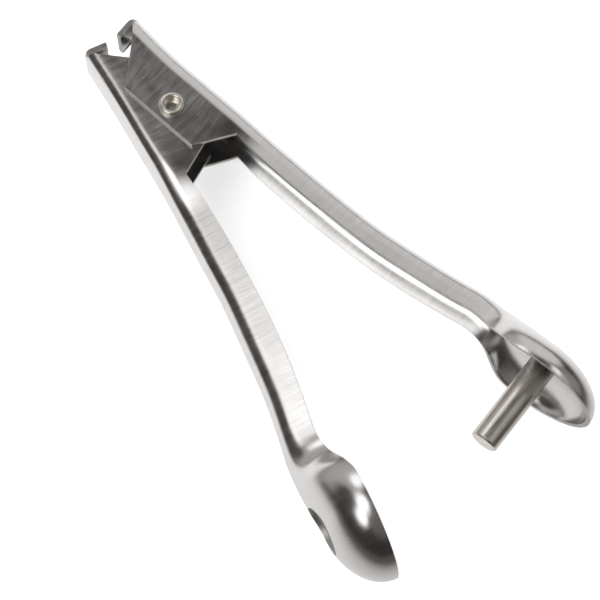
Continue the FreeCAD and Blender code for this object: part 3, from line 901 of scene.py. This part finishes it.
def white_sweep(studio):
    """Pale floor: matt, with a little of its own light. What the metal mirrors of it ends a
    hand's breadth from the tool, as a sheet of paper on a dark table does."""
    look = Shading(bpy.data.materials.new("white_sweep"))
    rays = look.node("LightPath").outputs
    direct = look.times(look.seen_directly(rays), studio.floor_lift)
    mirrored = look.times(rays["Is Glossy Ray"], studio.floor_gleam)
    matt = look.node("BsdfDiffuse", Color=(*studio.floor_colour, 1.0))
    glow = look.node("Emission", Color=(*WHITE, 1.0), Strength=look.maths("ADD", direct, mirrored))
    paper = look.node("AddShader", _0=matt.outputs[0], _1=glow.outputs[0])
    table = look.node("BsdfDiffuse", Color=(*studio.table_colour, 1.0))
    place = look.node("NewGeometry").outputs["Position"]
    away = look.node("VectorMath", {"operation": "DISTANCE"}, _0=place,
                     _1=tuple(studio.paper_middle)).outputs["Value"]
    ended = look.times(look.spread(away, studio.paper_start, studio.paper_end,
                                   curve="SMOOTHSTEP"), rays["Is Glossy Ray"])
    return look.show(look.node("MixShader", _0=ended, _1=paper.outputs[0], _2=table.outputs[0]))


# Sizes, colours and studio that a user would change

def length(name, description, millimetres):
    return FloatProperty(name=name, description=description, default=millimetres * MM,
                         min=0.0, unit="LENGTH", precision=5)


def share(name, description, default):
    return FloatProperty(name=name, description=description, default=default, min=0.0,
                         max=1.0, subtype="FACTOR")


def colour(name, description, default):
    return FloatVectorProperty(name=name, description=description, default=default, size=3,
                               min=0.0, max=1.0, subtype="COLOR")


class PitterSizes(PropertyGroup):
    """Sizes of the pieces"""
    sheet_thickness: length("Sheet", "Thickness of the arms' sheet steel", 1.2)
    edge_break: length("Edge break", "Rounding of the sheet's cut edges", 0.18)
    bowl_radius: length("Bowl radius", "Radius of the cup and of the dish over their skin", 17.0)
    dish_depth: length("Dish depth", "Depth of the dish that carries the pin", 9.2)
    cup_depth: length("Cup depth", "Depth of the cup with the pit hole", 11.5)
    pit_hole_radius: length("Pit hole", "Radius of the hole in the cup", 6.3)
    pin_radius: length("Pin radius", "Radius of the plunger pin", 3.5)
    pin_reach: length("Pin reach", "Distance of the pin's tip beyond the closing plane", 19.1)
    pin_chamfer: length("Pin chamfer", "Chamfer of the pin's tip", 0.35)
    pin_shoulder: length("Pin shoulder", "Height of the pin's shoulder in the dish", 7.72)
    tenon_radius: length("Tenon radius", "Radius of the pin's tenon in the dish", 2.2)
    peen_radius: length("Peen radius", "Radius of the peened end of the tenon", 3.1)
    peen_height: length("Peen height", "Height of the peened end over the dish", 0.8)
    rivet_radius: length("Rivet radius", "Radius of the rivet's shank", 2.3)
    rivet_play: length("Rivet play", "Running gap between rivet and cup arm", 0.05)
    head_radius: length("Head radius", "Radius of the rivet's domed head", 3.9)
    head_height: length("Head height", "Height of the rivet's domed head", 1.6)
    head_round: length("Head round", "Rounding of the rivet's domed head", 1.35)
    roll_radius: length("Roll radius", "Outer radius of the rivet's rolled end", 2.85)
    roll_height: length("Roll height", "Height of the rolled end over the washer", 0.85)
    roll_round: length("Roll round", "Rounding of the rolled end", 0.42)
    bore_radius: length("Bore radius", "Radius of the rivet's bore", 1.85)
    bore_depth: length("Bore depth", "Depth of the rivet's bore", 2.4)
    washer_radius: length("Washer radius", "Outer radius of the washer", 3.3)
    washer_thickness: length("Washer thickness", "Thickness of the washer", 0.5)
    sleeve_radius: length("Sleeve radius", "Outer radius of the sleeve in the spring", 3.1)
    sleeve_gap: length("Sleeve gap", "Gap between the sleeve's end and a cheek", 0.1)
    wire_radius: length("Wire radius", "Radius of the spring's wire", 0.55)
    coil_radius: length("Coil radius", "Mean radius of the spring's turns", 4.0)
    coil_gap: length("Coil gap", "Gap between two turns of the spring", 0.12)
    coil_turns: IntProperty(name="Coil turns", description="Whole turns of the spring",
                            default=5, min=1)
    leg_reach: length("Leg reach", "Distance of the spring legs' tips along the arms", 14.0)
    leg_gap: length("Leg gap", "Gap between a spring leg and its arm", 0.02)


class PitterFinishes(PropertyGroup):
    """Colours and surfaces of the pieces"""
    steel_colour: colour("Steel", "Colour of the plated sheet steel", (0.68, 0.67, 0.66))
    edge_colour: colour("Rounded edge", "Colour of the bright rounded edges", (1.0, 0.98, 0.95))
    cut_colour: colour("Cut face", "Colour of the sheet's cut faces", (0.5, 0.48, 0.46))
    bar_colour: colour("Pin", "Colour of the plunger pin", (0.7, 0.665, 0.62))
    rivet_colour: colour("Rivet", "Colour of the rivet", (0.8, 0.77, 0.69))
    washer_colour: colour("Washer", "Colour of the washer", (0.66, 0.64, 0.61))
    sleeve_colour: colour("Sleeve", "Colour of the sleeve", (0.52, 0.51, 0.5))
    wire_colour: colour("Spring", "Colour of the spring's wire", (0.46, 0.45, 0.44))
    # Colour of real pits, specks and flecks, and of the painted shade at the pin's root
    grime_and_shade_colour: colour("Grime", "Colour of pits and stains", (0.12, 0.1, 0.085))
    steel_roughness: share("Steel roughness", "Roughness of the sheet steel", 0.22)
    edge_roughness: share("Cut edge roughness", "Roughness of the sheet's cut edges", 0.5)
    bar_roughness: share("Pin roughness", "Roughness of the plunger pin", 0.3)
    small_roughness: share("Rivet roughness", "Roughness of the rivet and the washer", 0.22)
    wave_height: length("Waves", "Height of the press's waves in the sheet", 0.07)
    stroke_height: length("Strokes", "Height of the polishing strokes", 0.013)
    # Painted shade darkens the pin, in mottled patches, between these distances from its tip
    root_shade_start: length("Stain start", "Distance from the pin's tip where stains begin", 14.0)
    root_shade_end: length("Stain end", "Distance from the pin's tip where stains are full", 24.0)


class PitterStudio(PropertyGroup):
    """Floor, light and camera"""
    floor_colour: colour("Floor", "Colour of the studio floor", (0.85, 0.85, 0.85))
    floor_lift: share("Floor lift", "Own light of the floor, seen directly", 0.5)
    floor_gleam: share("Floor gleam", "Own light of the floor, seen in the metal", 0.3)
    table_colour: colour("Table", "Colour that the metal mirrors past the paper",
                         (0.12, 0.105, 0.1))
    paper_middle: FloatVectorProperty(name="Paper middle", size=3, unit="LENGTH",
                                      description="Middle of the paper that the metal mirrors",
                                      default=(-0.05, 0.02, 0.0))
    paper_start: length("Paper fades from", "Distance where the mirrored paper begins to fade",
                        80.0)
    paper_end: length("Paper ends at", "Distance where the mirrored paper has ended", 230.0)
    floor_size: FloatProperty(name="Floor size", description="Side of the square studio floor",
                              default=6.0, min=1.0, unit="LENGTH")
    camera_height: FloatProperty(name="Camera height", default=math.radians(71.867),
                                 description="Angle of the view over the tool's plane",
                                 subtype="ANGLE")
    camera_roll: FloatProperty(name="Camera roll", default=math.radians(-2.367),
                               description="Roll of the camera", subtype="ANGLE")
    camera_distance: FloatProperty(name="Camera distance", default=0.5, unit="LENGTH",
                                   description="Distance from the middle of the picture")
    camera_lens: FloatProperty(name="Lens", default=125.28, subtype="DISTANCE_CAMERA",
                               description="Focal length on a 36 mm sensor")
    hinge_in_picture: FloatVectorProperty(name="Hinge in the picture", size=3, unit="LENGTH",
                                          description="The hinge from the picture's middle",
                                          default=(-0.0329, 0.045546, 0.0))
    midline_turn: FloatProperty(name="Mid-line turn", default=math.radians(49.06),
                                description="Turn of the tool's mid-line in the picture",
                                subtype="ANGLE")


# The studio

SENSOR_WIDTH = 36.0
CLIP_START = 0.01
CLIP_END = 20.0
# Lamps: name, place, width and height in metres, power in watts
SOFTBOXES = (
    ("softbox_left", (-0.6, -0.4, 0.9), 0.9, 0.7, 6.0),
    ("softbox_right", (0.7, 0.3, 0.9), 0.8, 0.6, 4.0),
)


def product_camera(studio):
    """Camera of the product picture: over the tool, looking steeply down."""
    right = Vector((1, 0, 0))
    back = Vector((0, -math.cos(studio.camera_height), math.sin(studio.camera_height)))
    roll = Matrix.Rotation(-studio.camera_roll, 3, back)
    pose = Matrix((roll @ right, roll @ back.cross(right), back)).transposed().to_4x4()
    pose.translation = back * studio.camera_distance
    # The picture's plane is turned so that the tool's mid-line runs down to the right
    hinge = Vector(studio.hinge_in_picture)
    turn = hinge_frame(math.degrees(studio.midline_turn), 1.0) @ Matrix.Translation(-hinge)
    camera = bpy.data.cameras.new("studio_camera")
    camera.sensor_width = SENSOR_WIDTH
    camera.lens = studio.camera_lens
    camera.clip_start = CLIP_START
    camera.clip_end = CLIP_END
    holder = bpy.data.objects.new("studio_camera", camera)
    holder.matrix_world = turn @ pose
    bpy.context.scene.collection.objects.link(holder)
    bpy.context.scene.camera = holder


def softbox(name, place, width, height, power):
    """A soft lamp that faces the tool. The metal mirrors the sky's cards in its stead."""
    light = bpy.data.lights.new(name, "AREA")
    light.shape = "RECTANGLE"
    light.size = width
    light.size_y = height
    light.energy = power
    holder = bpy.data.objects.new(name, light)
    holder.location = place
    holder.rotation_mode = "QUATERNION"
    holder.rotation_quaternion = (-Vector(place)).to_track_quat("-Z", "Y")
    holder.visible_glossy = False
    bpy.context.scene.collection.objects.link(holder)


# The sky that the metal mirrors. It is warm where it is dark, and white from a brightness on.
SKY_DARK = 0.04
WARM_DARK = (1.0, 0.86, 0.81)
WHITE_FROM = 0.6
# Its cards: direction, degrees to where the card begins to fade and to where it ends, brightness
CARDS = (
    ((-0.92, -0.15, 0.35), 26, 52, 0.5),
    ((-0.43, 0.78, 0.40), 25, 36, 0.8),
    ((-0.49, -0.69, 0.54), 16, 27, 0.06),
    ((0.45, -0.05, 0.89), 18, 40, 0.16),
    ((0.50, 0.75, 0.35), 15, 30, 0.3),
    ((0.50, 0.40, 0.76), 12, 24, 0.5),
    ((-0.19, -0.32, 0.93), 10, 21, 2.0),
    ((0.0, -0.66, 0.75), 12, 17, 2.0),
    ((0.21, 0.58, 0.79), 6, 11, 1.5),
    ((-0.68, 0.11, 0.72), 10, 15, 1.8),
    ((-0.41, 0.21, 0.89), 5, 10, 0.05),
)


def studio_sky():
    """Dark sky with bright cards, so that the steel shows them as bands and highlights."""
    look = Shading(bpy.data.worlds.new("studio_sky"))
    place = look.node("TexCoord").outputs["Generated"]
    light = SKY_DARK
    for towards, core_deg, end_deg, brightness in CARDS:
        card = tuple(Vector(towards).normalized())
        near = look.node("VectorMath", {"operation": "DOT_PRODUCT"}, _0=place, _1=card)
        inside = look.spread(near.outputs["Value"], math.cos(math.radians(end_deg)),
                             math.cos(math.radians(core_deg)), curve="SMOOTHSTEP")
        light = look.spread(inside, 0.0, 1.0, light, brightness)
    tint = look.tinted(look.spread(light, 0.0, WHITE_FROM), WARM_DARK, WHITE)
    sky = look.node("Background", Color=tint, Strength=light)
    # Past the floor the camera sees plain white
    white = look.node("Background", Color=(*WHITE, 1.0), Strength=1.0)
    direct = look.seen_directly(look.node("LightPath").outputs)
    both = look.node("MixShader", _0=direct, _1=sky.outputs[0], _2=white.outputs[0])
    return look.show(both, "OutputWorld")


class PITTER_OT_studio(Operator):
    """Floor, lamps, sky and camera"""
    bl_idname = "pitter.studio"
    bl_label = "Studio"

    def execute(self, context):
        studio = context.scene.pitter_studio
        context.scene.view_settings.view_transform = "Standard"
        half = studio.floor_size / 2
        mesh = bpy.data.meshes.new("studio_floor")
        corners = [(-half, -half, 0), (half, -half, 0), (half, half, 0), (-half, half, 0)]
        mesh.from_pydata(corners, [], [(0, 1, 2, 3)])
        mesh.materials.append(white_sweep(studio))
        floor = bpy.data.objects.new("studio_floor", mesh)
        context.scene.collection.objects.link(floor)
        context.scene.world = studio_sky()
        for lamp in SOFTBOXES:
            softbox(*lamp)
        product_camera(studio)
        return {"FINISHED"}


# The pieces

COIL_STEP_DEG = 9.0
LEG_STEPS = 5
# Share of a spring's leg that its broken end takes
LEG_END_SHARE = 0.012
# Roundings of the small pieces' edges, in mm
TIP_ROUND = 0.1
CHAMFER_ROUND = 0.18
SHOULDER_ROUND = 0.1
PEEN_FOOT_ROUND = 0.08
PEEN_ROUND = 0.5
HEAD_FOOT_ROUND = 0.06
ROLL_FOOT_ROUND = 0.12
BORE_ROUND = 0.2
WASHER_ROUND = 0.14
SLEEVE_ROUND = 0.1


def settings(context):
    return context.scene.pitter_sizes, context.scene.pitter_finishes


def make_arm(context, kind, name, node, body, turn_deg, hole_radius):
    """One pressed arm with its rivet hole and its broken edges."""
    sizes, finishes = settings(context)
    place = hinge_frame(turn_deg)
    materials = [pressed_steel(kind + "_arm_steel", finishes),
                 sheared_steel(kind + "_arm_cut_face", finishes.cut_colour, finishes),
                 sheared_steel(kind + "_arm_rounded_edge", finishes.edge_colour, finishes)]
    piece = new_piece(name, arm_mesh(PressedArm(kind, sizes)), place, materials)
    drill(piece, place, hole_radius / MM)
    break_edges(piece, sizes.edge_break)
    mount(piece, body, node)


class PITTER_OT_pin_arm(Operator):
    """The wide pressed arm, with the dish"""
    bl_idname = "pitter.pin_arm"
    bl_label = "Pin arm"

    def execute(self, context):
        sizes = context.scene.pitter_sizes
        make_arm(context, "pin", "pin_arm_sheet", "pin_arm", PIN_BODY,
                 HALF_OPENING_DEG, sizes.rivet_radius)
        return {"FINISHED"}


class PITTER_OT_cup_arm(Operator):
    """The narrow pressed arm, with the cup and its pit hole"""
    bl_idname = "pitter.cup_arm"
    bl_label = "Cup arm"

    def execute(self, context):
        sizes = context.scene.pitter_sizes
        make_arm(context, "cup", "cup_arm_sheet", "cup_arm", CUP_BODY,
                 -HALF_OPENING_DEG, sizes.rivet_radius + sizes.rivet_play)
        return {"FINISHED"}


class PITTER_OT_plunger_pin(Operator):
    """The solid pin, peened into the dish"""
    bl_idname = "pitter.plunger_pin"
    bl_label = "Plunger pin"

    def execute(self, context):
        sizes, finishes = settings(context)
        radius = sizes.pin_radius / MM
        chamfer = sizes.pin_chamfer / MM
        reach = sizes.pin_reach / MM
        tenon = sizes.tenon_radius / MM
        peen = sizes.peen_radius / MM
        shoulder = reach + sizes.pin_shoulder / MM
        floor = reach + sizes.dish_depth / MM
        top = floor + sizes.peen_height / MM
        profile = rounded([
            (0, 0, 0),
            (radius - chamfer, 0, TIP_ROUND),
            (radius, chamfer, CHAMFER_ROUND),
            (radius, shoulder, SHOULDER_ROUND),
            (tenon, shoulder, 0),
            (tenon, floor, 0),
            (peen, floor, PEEN_FOOT_ROUND),
            (tenon, top, PEEN_ROUND),
            (0, top, 0),
        ])
        seat = Matrix.Translation((CENTRE, -reach, 0)) @ Matrix.Rotation(-math.pi / 2, 4, "X")
        make_crisp("plunger_pin_bar", turned_mesh(profile),
                   hinge_frame(HALF_OPENING_DEG) @ seat, bar_steel("pin_steel", finishes),
                   PIN_BODY, "plunger_pin")
        return {"FINISHED"}


class PITTER_OT_pivot_rivet(Operator):
    """The rivet, domed on one side and rolled over on the other"""
    bl_idname = "pitter.pivot_rivet"
    bl_label = "Pivot rivet"

    def execute(self, context):
        sizes, finishes = settings(context)
        shank = sizes.rivet_radius / MM
        head = sizes.head_radius / MM
        roll = sizes.roll_radius / MM
        bore = sizes.bore_radius / MM
        bend = sizes.roll_round / MM
        half_arm = ARM_WIDTH["pin"] / 2
        foot = -half_arm - sizes.head_height / MM
        seat = half_arm + sizes.washer_thickness / MM
        crest = seat + sizes.roll_height / MM
        floor = crest - sizes.bore_depth / MM
        profile = rounded([
            (0, foot, 0),
            (head, foot, sizes.head_round / MM),
            (head, -half_arm, HEAD_FOOT_ROUND),
            (shank, -half_arm, 0),
            (shank, seat, 0),
            (roll, seat, ROLL_FOOT_ROUND),
            (roll, crest, bend),
            (bore, crest, bend),
            (bore, floor, BORE_ROUND),
            (0, floor, 0),
        ])
        steel = small_steel("rivet_steel", finishes.rivet_colour, finishes.small_roughness,
                            finishes, RINGS)
        make_crisp("pivot_rivet_turned", turned_mesh(profile), hinge_frame(0), steel,
                   PIN_BODY, "pivot_rivet")
        return {"FINISHED"}


def ring_mesh(inner, outer, low, high, bend):
    """A ring round the rivet with rounded edges."""
    corners = [(inner, low, bend), (outer, low, bend), (outer, high, bend), (inner, high, bend)]
    profile = rounded(corners)
    return turned_mesh(profile + profile[:1])


class PITTER_OT_rivet_washer(Operator):
    """The washer under the rivet's rolled end"""
    bl_idname = "pitter.rivet_washer"
    bl_label = "Rivet washer"

    def execute(self, context):
        sizes, finishes = settings(context)
        low = ARM_WIDTH["pin"] / 2
        ring = ring_mesh(sizes.rivet_radius / MM, sizes.washer_radius / MM, low,
                         low + sizes.washer_thickness / MM, WASHER_ROUND)
        steel = small_steel("washer_steel", finishes.washer_colour, finishes.small_roughness,
                            finishes, RINGS)
        make_crisp("rivet_washer_ring", ring, hinge_frame(0), steel, PIN_BODY,
                   "rivet_washer")
        return {"FINISHED"}


class PITTER_OT_pivot_sleeve(Operator):
    """The sleeve that keeps the cup arm's cheeks apart"""
    bl_idname = "pitter.pivot_sleeve"
    bl_label = "Pivot sleeve"

    def execute(self, context):
        sizes, finishes = settings(context)
        half = ARM_WIDTH["cup"] / 2 - (sizes.sheet_thickness + sizes.sleeve_gap) / MM
        ring = ring_mesh(sizes.rivet_radius / MM, sizes.sleeve_radius / MM, -half, half,
                         SLEEVE_ROUND)
        steel = small_steel("sleeve_steel", finishes.sleeve_colour, finishes.bar_roughness,
                            finishes, DRAWN_LINES)
        make_crisp("pivot_sleeve_tube", ring, hinge_frame(0), steel, PIN_BODY,
                   "pivot_sleeve")
        return {"FINISHED"}


def spring_path(sizes):
    """The wire's middle line and the height of the coil. Each leg leaves the coil straight and
    lies against the inside of one spine."""
    wire = sizes.wire_radius / MM
    mean = sizes.coil_radius / MM
    reach = sizes.leg_reach / MM
    inside = wire + (sizes.sheet_thickness + sizes.leg_gap) / MM

    def leg_tip(kind, side):
        """Distance of a leg's tip from the hinge, and its turn from the mid-line."""
        out = PressedArm(kind, sizes).height(reach) - inside
        turn = math.radians(HALF_OPENING_DEG) + math.atan2(out, reach)
        return math.hypot(reach, out), side * turn

    def leg(far, turn, root):
        """Middle line of a leg, from its tip to its root on the coil."""
        tip = Vector((far * math.cos(turn), far * math.sin(turn), root.z))
        shares = [0.0, LEG_END_SHARE] + [k / LEG_STEPS for k in range(1, LEG_STEPS)]
        return [tip.lerp(root, share) for share in shares]

    pin_far, pin_turn = leg_tip("pin", 1)
    cup_far, cup_turn = leg_tip("cup", -1)
    start = pin_turn + math.acos(mean / pin_far)
    stop = cup_turn - math.acos(mean / cup_far)
    sweep = sizes.coil_turns * 2 * math.pi - (start - stop)
    pitch = 2 * wire + sizes.coil_gap / MM
    height = pitch * sweep / (2 * math.pi)
    steps = math.ceil(sweep / math.radians(COIL_STEP_DEG))
    coil = []
    for k in range(steps + 1):
        turn = start + sweep * k / steps
        level = height * (k / steps - 0.5)
        coil.append(Vector((mean * math.cos(turn), mean * math.sin(turn), level)))
    path = leg(pin_far, pin_turn, coil[0]) + coil + leg(cup_far, cup_turn, coil[-1])[::-1]
    return path, height


class PITTER_OT_return_spring(Operator):
    """The torsion spring round the sleeve; its legs follow the two arms"""
    bl_idname = "pitter.return_spring"
    bl_label = "Return spring"

    def execute(self, context):
        sizes, finishes = settings(context)
        path, height = spring_path(sizes)
        wire = sizes.wire_radius / MM
        steel = small_steel("spring_steel", finishes.wire_colour, finishes.bar_roughness,
                            finishes, EVEN_GRAIN)
        place = hinge_frame(0)
        piece = make_crisp("return_spring_wire", wire_mesh(path, wire), place, steel, None,
                           "return_spring")
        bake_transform(piece)
        return {"FINISHED"}


class PITTER_PT_pieces(Panel):
    """Makes the cherry pitter's pieces and its studio"""
    bl_idname = "PITTER_PT_pieces"
    bl_label = "Cherry Pitter"
    bl_space_type = "VIEW_3D"
    bl_region_type = "UI"
    bl_category = "Cherry Pitter"

    def draw(self, context):
        for step in STEPS:
            self.layout.operator(step.bl_idname)


GROUPS = {"pitter_sizes": PitterSizes, "pitter_finishes": PitterFinishes,
          "pitter_studio": PitterStudio}
STEPS = (PITTER_OT_studio, PITTER_OT_pin_arm, PITTER_OT_cup_arm, PITTER_OT_plunger_pin,
         PITTER_OT_pivot_rivet, PITTER_OT_rivet_washer, PITTER_OT_pivot_sleeve,
         PITTER_OT_return_spring)
CLASSES = tuple(GROUPS.values()) + STEPS + (PITTER_PT_pieces,)


def register():
    for made in CLASSES:
        bpy.utils.register_class(made)
    for name, group in GROUPS.items():
        setattr(bpy.types.Scene, name, PointerProperty(type=group))


def unregister():
    for name in GROUPS:
        delattr(bpy.types.Scene, name)
    for made in reversed(CLASSES):
        bpy.utils.unregister_class(made)


def main():
    register()
    for step in STEPS:
        area, name = step.bl_idname.split(".")
        getattr(getattr(bpy.ops, area), name)()
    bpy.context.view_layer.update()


if __name__ == "__main__":
    main()
